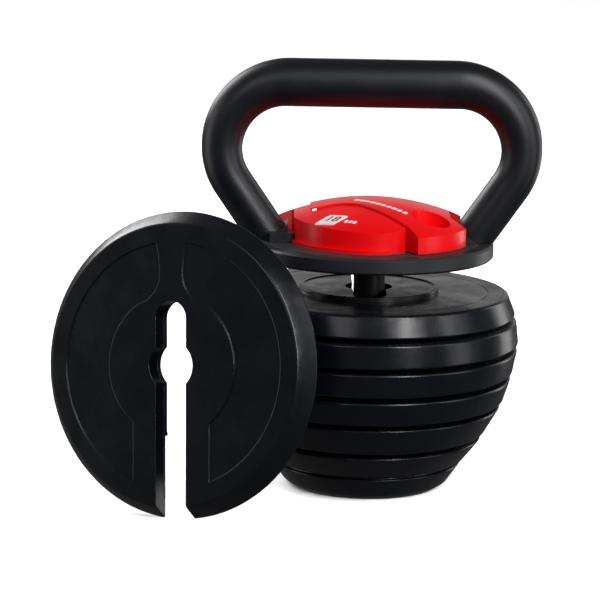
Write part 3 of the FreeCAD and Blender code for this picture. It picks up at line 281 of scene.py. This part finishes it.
def node_slot(node: str) -> str:
    """The record's material slot of a CAD node."""
    parts = frame["record"]["subparts"]
    return next(part["material_slot"] for part in parts if part["node"] == node)


def new_piece(name: str, mesh: bpy.types.Mesh) -> bpy.types.Object:
    """Put a mesh in the scene as a piece at the origin."""
    piece = bpy.data.objects.new(name, mesh)
    bpy.context.scene.collection.objects.link(piece)
    return piece


def settle(piece: bpy.types.Object) -> bpy.types.Object:
    """Turn a piece and its modifiers into a plain mesh.

    Args:
        piece: A mesh or curve object at the origin.

    Returns:
        A new mesh object with the same name.
    """
    graph = bpy.context.evaluated_depsgraph_get()
    mesh = bpy.data.meshes.new_from_object(piece.evaluated_get(graph), depsgraph=graph)
    name = piece.name
    bpy.data.objects.remove(piece)
    return new_piece(name, mesh)


def smooth_by_angle(piece: bpy.types.Object, degrees: float) -> None:
    """Shade smooth, with edges sharper than an angle kept crisp."""
    mesh = piece.data
    mesh.polygons.foreach_set("use_smooth", [True] * len(mesh.polygons))
    mesh.set_sharp_from_angle(angle=math.radians(degrees))
    mesh.update()


def stand_for(piece: bpy.types.Object, *nodes: str) -> None:
    """Make a piece ride with, and replace, CAD nodes of one body."""
    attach(piece, node_body(nodes[0]))
    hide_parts(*nodes)
    log.info("%s stands for %s", piece.name, ", ".join(nodes))


def softened(node: str, width: float, segments: int = 3, angle: float = 32.0) -> bpy.types.Object:
    """A copy of a CAD node with its sharp edges rounded over.

    Args:
        node: The CAD node.
        width: Bevel width in metres.
        segments: Steps across the bevel.
        angle: Edges turned by more than this many degrees are rounded.

    Returns:
        The new piece, with plain mesh data.
    """
    mesh = frame["nodes"][node].data.copy()
    mesh.materials.clear()
    work = bmesh.new()
    work.from_mesh(mesh)
    bmesh.ops.remove_doubles(work, verts=work.verts, dist=2e-6)
    bmesh.ops.dissolve_limit(work, angle_limit=math.radians(0.6), verts=work.verts, edges=work.edges)
    bmesh.ops.dissolve_degenerate(work, dist=2e-6, edges=work.edges)
    work.to_mesh(mesh)
    work.free()
    for name in [item.name for item in mesh.attributes if item.name.startswith(("custom_normal", "sharp"))]:
        mesh.attributes.remove(mesh.attributes[name])
    piece = new_piece(f"{node}_body", mesh)
    mesh.polygons.foreach_set("use_smooth", [True] * len(mesh.polygons))
    bevel = piece.modifiers.new("edges", "BEVEL")
    bevel.width = width
    bevel.segments = segments
    bevel.limit_method = "ANGLE"
    bevel.angle_limit = math.radians(angle)
    bevel.use_clamp_overlap = True
    bevel.miter_outer = "MITER_ARC"
    weights = piece.modifiers.new("normals", "WEIGHTED_NORMAL")
    weights.keep_sharp = True
    return settle(piece)


def run_tree(host: bpy.types.Object, tree: bpy.types.NodeTree, values: dict[str, object]) -> bpy.types.Object:
    """Put a tree on an object, give it its sizes, and settle the result to a plain mesh.

    Args:
        host: The object that starts the tree.
        tree: A geometry tree with named inputs.
        values: Input name to value.

    Returns:
        The finished piece, without the modifier.
    """
    modifier = host.modifiers.new("rule", "NODES")
    modifier.node_group = tree
    for item in tree.interface.items_tree:
        if item.item_type == "SOCKET" and item.in_out == "INPUT" and item.name in values:
            modifier[item.identifier] = values[item.name]
    host.update_tag()
    bpy.context.view_layer.update()
    return settle(host)


def rule_tree(name: str, sizes: dict[str, float]) -> tuple[bpy.types.NodeTree, bpy.types.Node]:
    """A new geometry tree with float inputs for its sizes and one for its material.

    Args:
        name: The tree's name.
        sizes: Input name to its usual value in metres or as a count.

    Returns:
        The tree and its input node.
    """
    tree = bpy.data.node_groups.new(name, "GeometryNodeTree")
    tree.interface.new_socket("Geometry", in_out="INPUT", socket_type="NodeSocketGeometry")
    for label, value in sizes.items():
        socket = tree.interface.new_socket(label, in_out="INPUT", socket_type="NodeSocketFloat")
        socket.default_value = value
    tree.interface.new_socket("Finish", in_out="INPUT", socket_type="NodeSocketMaterial")
    tree.interface.new_socket("Geometry", in_out="OUTPUT", socket_type="NodeSocketGeometry")
    return tree, tree.nodes.new("NodeGroupInput")


def close_tree(tree: bpy.types.NodeTree, given: bpy.types.Node, shape: bpy.types.NodeSocket) -> None:
    """End a tree in Realize Instances and Set Material."""
    real = add_node(tree, "GeometryNodeRealizeInstances", {"Geometry": shape}).outputs[0]
    painted = add_node(tree, "GeometryNodeSetMaterial", {
        "Geometry": real, "Material": given.outputs["Finish"],
    }).outputs[0]
    out = tree.nodes.new("NodeGroupOutput")
    tree.links.new(painted, out.inputs[0])


# ---- the stack ----

@dataclass
class BaseUnit:
    """Two-banded tray at the bottom with its iron, lid, foot ring and bolt."""

    tray_edge: float = 0.6
    lid_edge: float = 0.35

    def build(self) -> None:
        """Soften the moulded pieces and dress the hidden ones."""
        for node, edge, finish in (("base_shell", self.tray_edge, SHELL_ABS),
                                   ("base_lid", self.lid_edge, LID_ABS)):
            piece = softened(node, edge * MM)
            dress(piece, finish)
            stand_for(piece, node)
        for node, finish in (("base_iron", IRON), ("foot_ring", RUBBER), ("shaft_bolt", ZINC),
                             ("shaft_washer", ZINC)):
            dress(frame["nodes"][node], finish)


@dataclass
class PlateUnit:
    """One slotted plate: a moulded tray, its iron and its lid with the boss.

    Attributes:
        body: The CAD body.
        tray_edge: Rounding of the tray's edges in millimetres.
        lid_edge: Rounding of the lid's edges in millimetres.
    """

    body: str
    tray_edge: float = 0.8
    lid_edge: float = 0.35

    def build(self) -> None:
        """Soften both mouldings and dress the iron."""
        for part, edge, finish in (("shell", self.tray_edge, SHELL_ABS),
                                   ("lid", self.lid_edge, LID_ABS)):
            node = f"{self.body}_{part}"
            piece = softened(node, edge * MM)
            dress(piece, finish)
            stand_for(piece, node)
        dress(frame["nodes"][f"{self.body}_iron"], IRON)


@dataclass
class ShaftUnit:
    """Flat-sided bar and its nut."""

    bar_edge: float = 0.4
    nut_edge: float = 0.5

    def build(self) -> None:
        """Soften the bar and the nut."""
        for node, edge, finish in (("shaft", self.bar_edge, OXIDE), ("shaft_nut", self.nut_edge, ZINC)):
            piece = softened(node, edge * MM)
            dress(piece, finish)
            stand_for(piece, node)


# ---- head and handle ----

@dataclass
class HandleUnit:
    """Bent tube with a thicker grip, and the wedges and bolts at its feet.

    Attributes are millimetres and degrees; the tube eases from grip_r to leg_r over its bends.
    """

    grip_r: float = 17.25
    leg_r: float = 14.65
    grip_z: float = 290.9
    bend_r: float = 47.0
    side_x: float = 107.35
    low_bend_r: float = 45.0
    leg_lean: float = 34.5
    foot_x: float = 73.5
    around: int = 72
    wedge_edge: float = 0.7

    def right_half(self) -> list[tuple[Vector, Vector, float]]:
        """Centres, directions and radii from the middle of the grip to the right foot."""
        stations: list[tuple[Vector, Vector, float]] = []
        side_z = self.grip_z - self.bend_r
        lean = math.radians(self.leg_lean)
        bend_x = self.side_x - self.bend_r
        for step in range(9):
            stations.append((Vector((bend_x * step / 9, 0, self.grip_z)), Vector((1, 0, 0)), self.grip_r))
        for step in range(25):
            turn = math.pi / 2 * step / 24
            centre = Vector((bend_x + self.bend_r * math.sin(turn), 0,
                             side_z + self.bend_r * math.cos(turn)))
            along = Vector((math.cos(turn), 0, -math.sin(turn)))
            share = step / 24
            stations.append((centre, along, self.grip_r + (self.leg_r - self.grip_r) * share))
        low_x = self.side_x - self.low_bend_r
        for step in range(1, 13):
            turn = lean * step / 12
            centre = Vector((low_x + self.low_bend_r * math.cos(turn), 0,
                             side_z - self.low_bend_r * math.sin(turn)))
            stations.append((centre, Vector((-math.sin(turn), 0, -math.cos(turn))), self.leg_r))
        end, down, _ = stations[-1]
        length = (end.x - self.foot_x) / math.sin(lean)
        for step in range(1, 7):
            stations.append((end + down * length * step / 6, down, self.leg_r))
        return stations

    def tube(self) -> bpy.types.Object:
        """The whole tube as one closed skin.

        Returns:
            The new piece.
        """
        half = self.right_half()
        left = [(Vector((-c.x, 0, c.z)), Vector((d.x, 0, -d.z)), r) for c, d, r in half[1:]]
        stations = left[::-1] + half
        work = bmesh.new()
        rings = []
        for centre, along, radius in stations:
            out = Vector((0, 1, 0)).cross(along).normalized()
            ring = []
            for index in range(self.around):
                angle = 2 * math.pi * index / self.around
                place = centre + (out * math.cos(angle) + Vector((0, 1, 0)) * math.sin(angle)) * radius
                ring.append(work.verts.new(place * MM))
            rings.append(ring)
        for low, high in zip(rings, rings[1:]):
            for index in range(self.around):
                after = (index + 1) % self.around
                work.faces.new((low[index], low[after], high[after], high[index]))
        work.faces.new(rings[0][::-1])
        work.faces.new(rings[-1])
        bmesh.ops.recalc_face_normals(work, faces=work.faces)
        mesh = bpy.data.meshes.new("handle_tube")
        work.to_mesh(mesh)
        work.free()
        piece = new_piece("handle_tube", mesh)
        smooth_by_angle(piece, 40)
        return piece

    def build(self) -> None:
        """Make the tube and its wedges, and dress the bolts."""
        tube = self.tube()
        dress(tube, POWDER)
        stand_for(tube, "handle")
        wedges = softened("handle_lugs", self.wedge_edge * MM)
        dress(wedges, HEAD_COAT)
        stand_for(wedges, "handle_lugs")
        dress(frame["nodes"]["handle_bolts"], ZINC)


@dataclass
class HeadUnit:
    """Round head plate with its grooved pad, bushes and hinge bracket."""

    plate_edge: float = 0.9
    pad_edge: float = 0.22
    bracket_edge: float = 0.6

    def build(self) -> None:
        """Soften what shows and dress the bushes."""
        for node, edge, finish in (("head_plate", self.plate_edge, HEAD_COAT),
                                   ("ribbed_pad", self.pad_edge, RUBBER),
                                   ("hinge_bracket", self.bracket_edge, HEAD_COAT)):
            piece = softened(node, edge * MM)
            dress(piece, finish)
            stand_for(piece, node)
        dress(frame["nodes"]["yoke_bushes"], BRASS)
        dress(frame["nodes"]["hinge_pin"], ZINC)


# ---- covers and lever ----

@dataclass
class Dome:
    """The sphere that the covers' tops lie on, in millimetres."""

    head_top: float = 178.7
    rise: float = 30.0
    rim_r: float = 70.0
    rim_rise: float = 15.0

    @property
    def radius(self) -> float:
        """Radius of the sphere."""
        return (self.rim_r ** 2 + self.rim_rise ** 2) / (2 * self.rim_rise)

    @property
    def middle_z(self) -> float:
        """Height of the sphere's middle."""
        return self.head_top + self.rise - self.radius

    def on(self, x: float, y: float, lift: float) -> Vector:
        """A point over a plan place, in metres, lift millimetres out of the dome."""
        radius = self.radius + lift
        z = self.middle_z + math.sqrt(radius ** 2 - x * x - y * y)
        return Vector((x, y, z)) * MM


def laid_on(piece: bpy.types.Object, dome: Dome, place: tuple[float, float], turn: float,
            drop: float) -> None:
    """Bend a flat print on to the dome.

    Args:
        piece: A mesh drawn flat, in millimetres, with its height in Z.
        dome: The covers' sphere.
        place: Plan place of the print's middle.
        turn: Turn of the print in plan, in degrees.
        drop: How far the surface lies under the dome; a negative number is above it.
    """
    angle = math.radians(turn)
    for vertex in piece.data.vertices:
        u, v, h = vertex.co
        x = place[0] + u * math.cos(angle) - v * math.sin(angle)
        y = place[1] + u * math.sin(angle) + v * math.cos(angle)
        vertex.co = dome.on(x, y, h - drop)
    piece.data.update()


def dash_tree() -> bpy.types.NodeTree:
    """A row of short bars along X, one beside the next."""
    tree, given = rule_tree("dash_row", {
        "Count": 9.0, "Pitch": 4.0, "Long": 2.6, "Wide": 1.6, "High": 0.2, "Seed": 7.0,
    })
    row = add_node(tree, "GeometryNodeMeshLine", mode="OFFSET")
    tree.links.new(given.outputs["Count"], row.inputs["Count"])
    step = add_node(tree, "ShaderNodeCombineXYZ", {"X": given.outputs["Pitch"]}).outputs[0]
    tree.links.new(step, row.inputs["Offset"])
    size = add_node(tree, "ShaderNodeCombineXYZ", {
        "X": given.outputs["Long"], "Y": given.outputs["Wide"], "Z": given.outputs["High"],
    }).outputs[0]
    bar = add_node(tree, "GeometryNodeMeshCube", {
        "Size": size, "Vertices X": 5, "Vertices Y": 4, "Vertices Z": 2,
    }).outputs["Mesh"]
    narrow = add_node(tree, "FunctionNodeRandomValue", {
        "Min": (0.8, 1.0, 1.0), "Max": (1.1, 1.0, 1.0), "Seed": given.outputs["Seed"],
    }, data_type="FLOAT_VECTOR").outputs[0]
    bars = add_node(tree, "GeometryNodeInstanceOnPoints", {
        "Points": row.outputs[0], "Instance": bar, "Scale": narrow,
    }).outputs[0]
    close_tree(tree, given, bars)
    return tree


def coil_tree() -> bpy.types.NodeTree:
    """Round wire wound along Z."""
    tree, given = rule_tree("wire_coil", {"Turns": 3.0, "Radius": 0.0038, "Pitch": 0.0017, "Wire": 0.0007})
    high = add_node(tree, "ShaderNodeMath", {
        0: given.outputs["Turns"], 1: given.outputs["Pitch"],
    }, operation="MULTIPLY").outputs[0]
    line = add_node(tree, "GeometryNodeCurveSpiral", {
        "Resolution": 48, "Rotations": given.outputs["Turns"], "Start Radius": given.outputs["Radius"],
        "End Radius": given.outputs["Radius"], "Height": high,
    }).outputs[0]
    ring = add_node(tree, "GeometryNodeCurvePrimitiveCircle", {
        "Resolution": 12, "Radius": given.outputs["Wire"],
    }).outputs[0]
    wire = add_node(tree, "GeometryNodeCurveToMesh", {
        "Curve": line, "Profile Curve": ring, "Fill Caps": True,
    }).outputs[0]
    close_tree(tree, given, wire)
    return tree


@dataclass
class CoverUnit:
    """Fixed red covers with their screws, badge and printed marks."""

    dome: Dome = field(default_factory=Dome)
    edge: float = 1.3
    step: float = 1.4
    badge_place: tuple[float, float] = (-28.6, -45.0)
    badge_turn: float = -24.0
    badge_high: float = 0.9
    digits: str = "18"
    digit_high: float = 10.5

    def numerals(self) -> bpy.types.Object:
        """The badge's two digits, printed proud of its face."""
        curve = bpy.data.curves.new("digits", "FONT")
        curve.body = self.digits
        curve.size = self.digit_high
        curve.extrude = 0.12
        curve.align_x = "CENTER"
        curve.align_y = "CENTER"
        curve.shear = 0.3
        text = bpy.data.objects.new("badge_digits", curve)
        bpy.context.scene.collection.objects.link(text)
        piece = settle(text)
        laid_on(piece, self.dome, self.badge_place, self.badge_turn, self.step - self.badge_high - 0.1)
        return piece

    def ticks(self) -> bpy.types.Object:
        """Short white bars beside the badge."""
        host = new_piece("badge_ticks", bpy.data.meshes.new("badge_ticks"))
        piece = run_tree(host, dash_tree(), {
            "Count": 3.0, "Pitch": 3.1, "Long": 2.3, "Wide": 3.2, "High": 0.3, "Seed": 3.0,
            "Finish": PAINTS.of(WHITE_PRINT),
        })
        turn = math.radians(self.badge_turn)
        out = 11.5
        place = (self.badge_place[0] + out * math.cos(turn), self.badge_place[1] + out * math.sin(turn))
        laid_on(piece, self.dome, place, self.badge_turn, self.step - 0.1)
        return piece

    def build(self) -> None:
        """Soften the covers and lay the prints on them."""
        for node in ("front_cover", "rear_cover"):
            piece = softened(node, self.edge * MM)
            dress(piece, RED_ABS)
            stand_for(piece, node)
        dress(frame["nodes"]["badge"], WHITE_PRINT)
        dress(frame["nodes"]["cover_screws"], ZINC)
        for piece, finish in ((self.numerals(), RED_PRINT), (self.ticks(), WHITE_PRINT)):
            dress(piece, finish)
            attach(piece, "frame")
            log.info("%s laid on the front cover", piece.name)


@dataclass
class LeverUnit:
    """Lock lever with its pins, printed dashes, spring and the yoke that it lifts."""

    dome: Dome = field(default_factory=Dome)
    edge: float = 1.3
    dash_start: tuple[float, float] = (-10.1, -8.7)
    dash_end: tuple[float, float] = (23.3, -35.2)
    dash_count: int = 10
    hinge: tuple[float, float, float] = (-46.5, 0.0, 188.2)
    spring_turns: float = 3.0
    spring_pitch: float = 1.7
    spring_r: float = 3.8
    wire_r: float = 0.7

    def dashes(self) -> bpy.types.Object:
        """A plain row of white dashes along the lever's front edge."""
        start, end = Vector(self.dash_start), Vector(self.dash_end)
        pitch = (end - start).length / (self.dash_count - 1)
        host = new_piece("lever_dashes", bpy.data.meshes.new("lever_dashes"))
        piece = run_tree(host, dash_tree(), {
            "Count": float(self.dash_count), "Pitch": pitch, "Long": pitch * 0.68, "Wide": 3.6,
            "High": 0.3, "Seed": 11.0, "Finish": PAINTS.of(WHITE_PRINT),
        })
        turn = math.degrees(math.atan2(end.y - start.y, end.x - start.x))
        laid_on(piece, self.dome, tuple(start), turn, -0.1)
        return piece

    def spring(self) -> bpy.types.Object:
        """The coil round the hinge pin."""
        host = new_piece("spring_coil", bpy.data.meshes.new("spring_coil"))
        piece = run_tree(host, coil_tree(), {
            "Turns": self.spring_turns, "Radius": self.spring_r * MM, "Pitch": self.spring_pitch * MM,
            "Wire": self.wire_r * MM, "Finish": PAINTS.of(ZINC),
        })
        length = self.spring_turns * self.spring_pitch
        x, y, z = self.hinge
        turn = Matrix.Rotation(math.radians(-90), 4, "X")
        place = Matrix.Translation(Vector((x, y - length / 2, z)) * MM)
        piece.data.transform(place @ turn)
        smooth_by_angle(piece, 60)
        return piece

    def build(self) -> None:
        """Make and dress the lever's own pieces and what it moves."""
        lever = softened("lock_lever", self.edge * MM)
        dress(lever, RED_ABS)
        stand_for(lever, "lock_lever")
        dashes = self.dashes()
        dress(dashes, WHITE_PRINT)
        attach(dashes, "lever")
        spring = self.spring()
        dress(spring, ZINC)
        stand_for(spring, "lever_spring")
        yoke = softened("lock_yoke", 0.4 * MM)
        dress(yoke, ZINC)
        stand_for(yoke, "lock_yoke")
        dress(frame["nodes"]["lift_pin"], ZINC)


# ---- the studio ----

@dataclass(frozen=True)
class SoftBox:
    """One soft light: its place, size and brightness.

    Attributes:
        name: The light's name.
        place: Where it hangs, in metres.
        size: Its width and height in metres.
        glow: Its brightness as seen, where 1 is paper white.
        aim: The point that it faces.
    """

    name: str
    place: tuple[float, float, float]
    size: tuple[float, float]
    glow: float
    aim: tuple[float, float, float] = (0.0, 0.0, 0.15)

    def hang(self) -> bpy.types.Object:
        """Make the light and turn it to its aim."""
        data = bpy.data.lights.new(self.name, "AREA")
        data.shape = "RECTANGLE"
        data.size, data.size_y = self.size
        data.energy = self.glow * math.pi * self.size[0] * self.size[1]
        lamp = bpy.data.objects.new(self.name, data)
        bpy.context.scene.collection.objects.link(lamp)
        lamp.location = self.place
        aim = Vector(self.aim) - Vector(self.place)
        lamp.rotation_mode = "QUATERNION"
        lamp.rotation_quaternion = aim.to_track_quat("-Z", "Y")
        return lamp


SOFT_BOXES = (
    SoftBox("key_back_left", (-1.35, 1.3, 1.25), (1.0, 1.2), 7.6),
    SoftBox("back_wall", (0.1, 2.2, 0.6), (2.4, 0.8), 0.45),
    SoftBox("rim_right", (1.75, 1.35, 0.35), (0.5, 1.9), 3.2),
    SoftBox("strip_right", (0.84, -1.45, 1.15), (0.17, 1.7), 34.0),
    SoftBox("strip_far_right", (1.5, -0.75, 0.9), (0.15, 1.5), 5.0),
    SoftBox("side_right", (1.65, -0.55, 0.35), (0.5, 1.6), 1.8),
    SoftBox("side_left", (-1.7, -0.1, 0.25), (0.9, 1.5), 1.7),
    SoftBox("front_fill", (-0.9, -1.8, 1.5), (0.9, 0.9), 2.6),
)


@dataclass
class Studio:
    """Floor, lights and camera."""

    lens: float = 138.0
    away: float = 1.6675
    target: tuple[float, float, float] = (-0.0496, 0.0, 0.133)
    tilt: float = 10.8
    roll: float = 1.0
    room_grey: float = 0.10

    def build(self) -> None:
        """Make the whole studio."""
        self.camera()
        floor = self.floor()
        for box in SOFT_BOXES:
            box.hang()
        self.floor_light(floor)
        self.room()
        bpy.context.scene.view_settings.view_transform = "Standard"

    def room(self) -> None:
        """White where it shows, and dim where it only lights the object."""
        world = bpy.data.worlds.new("white_room")
        world.use_nodes = True
        tree = world.node_tree
        tree.nodes.clear()
        grey = self.room_grey
        dim = add_node(tree, "ShaderNodeBackground", {"Color": (grey, grey, grey, 1.0), "Strength": 1.0})
        white = add_node(tree, "ShaderNodeBackground", {"Color": (1.0, 1.0, 1.0, 1.0), "Strength": 1.0})
        seen = add_node(tree, "ShaderNodeLightPath").outputs["Is Camera Ray"]
        mixed = add_node(tree, "ShaderNodeMixShader", {0: seen, 1: dim.outputs[0], 2: white.outputs[0]})
        add_node(tree, "ShaderNodeOutputWorld", {"Surface": mixed.outputs[0]})
        bpy.context.scene.world = world

    def camera(self) -> None:
        """Stand the camera in front, level with the stack and looking a little down."""
        data = bpy.data.cameras.new("camera")
        data.lens = self.lens
        data.sensor_width = 36.0
        data.clip_end = 30.0
        camera = bpy.data.objects.new("camera", data)
        bpy.context.scene.collection.objects.link(camera)
        tilt = math.radians(self.tilt)
        back = Vector((0.0, -math.cos(tilt), math.sin(tilt)))
        camera.location = Vector(self.target) + back * self.away
        look = (-back).to_track_quat("-Z", "Y").to_matrix()
        turn = Matrix.Rotation(math.radians(self.roll), 3, "Z")
        camera.rotation_mode = "QUATERNION"
        camera.rotation_quaternion = (look @ turn).to_quaternion()
        bpy.context.scene.camera = camera

    def floor(self) -> bpy.types.Object:
        """A wide pale floor that the soft boxes' light doesn't bounce from."""
        work = bmesh.new()
        corners = [work.verts.new((x, y, 0.0)) for x, y in ((-5, -3), (5, -3), (5, 6), (-5, 6))]
        work.faces.new(corners)
        mesh = bpy.data.meshes.new("floor")
        work.to_mesh(mesh)
        work.free()
        floor = new_piece("floor", mesh)
        paper = Finish("pale_paper", "f8f8f8", "fbfbfb", 0.9, 0.02, grain_mm=3.0, depth_mm=0.01)
        dress(floor, paper)
        for ray in ("diffuse", "glossy", "transmission", "shadow"):
            setattr(floor, f"visible_{ray}", False)
        return floor

    def floor_light(self, floor: bpy.types.Object) -> None:
        """A wide soft light that only the floor takes, so that it stays pale."""
        data = bpy.data.lights.new("floor_wash", "SUN")
        data.energy = 3.3
        data.angle = math.radians(150)
        lamp = bpy.data.objects.new("floor_wash", data)
        bpy.context.scene.collection.objects.link(lamp)
        group = bpy.data.collections.new("floor_only")
        group.objects.link(floor)
        lamp.light_linking.receiver_collection = group


# ---- the whole ----


def main() -> None:
    """Build the studio and every sub-assembly in order."""
    logging.basicConfig(level=logging.INFO)
    Studio().build()
    for name, node in frame["nodes"].items():
        dress(node, SLOT_FINISH[node_slot(name)])
    plates = [name for name in frame["record"]["behaviour"]["bodies"] if "plate" in name]
    units = [BaseUnit(), *[PlateUnit(name) for name in plates], ShaftUnit(), HeadUnit(),
             HandleUnit(), CoverUnit(), LeverUnit()]
    for unit in units:
        unit.build()
        log.info("built %s", unit)


if __name__ == "__main__":
    main()
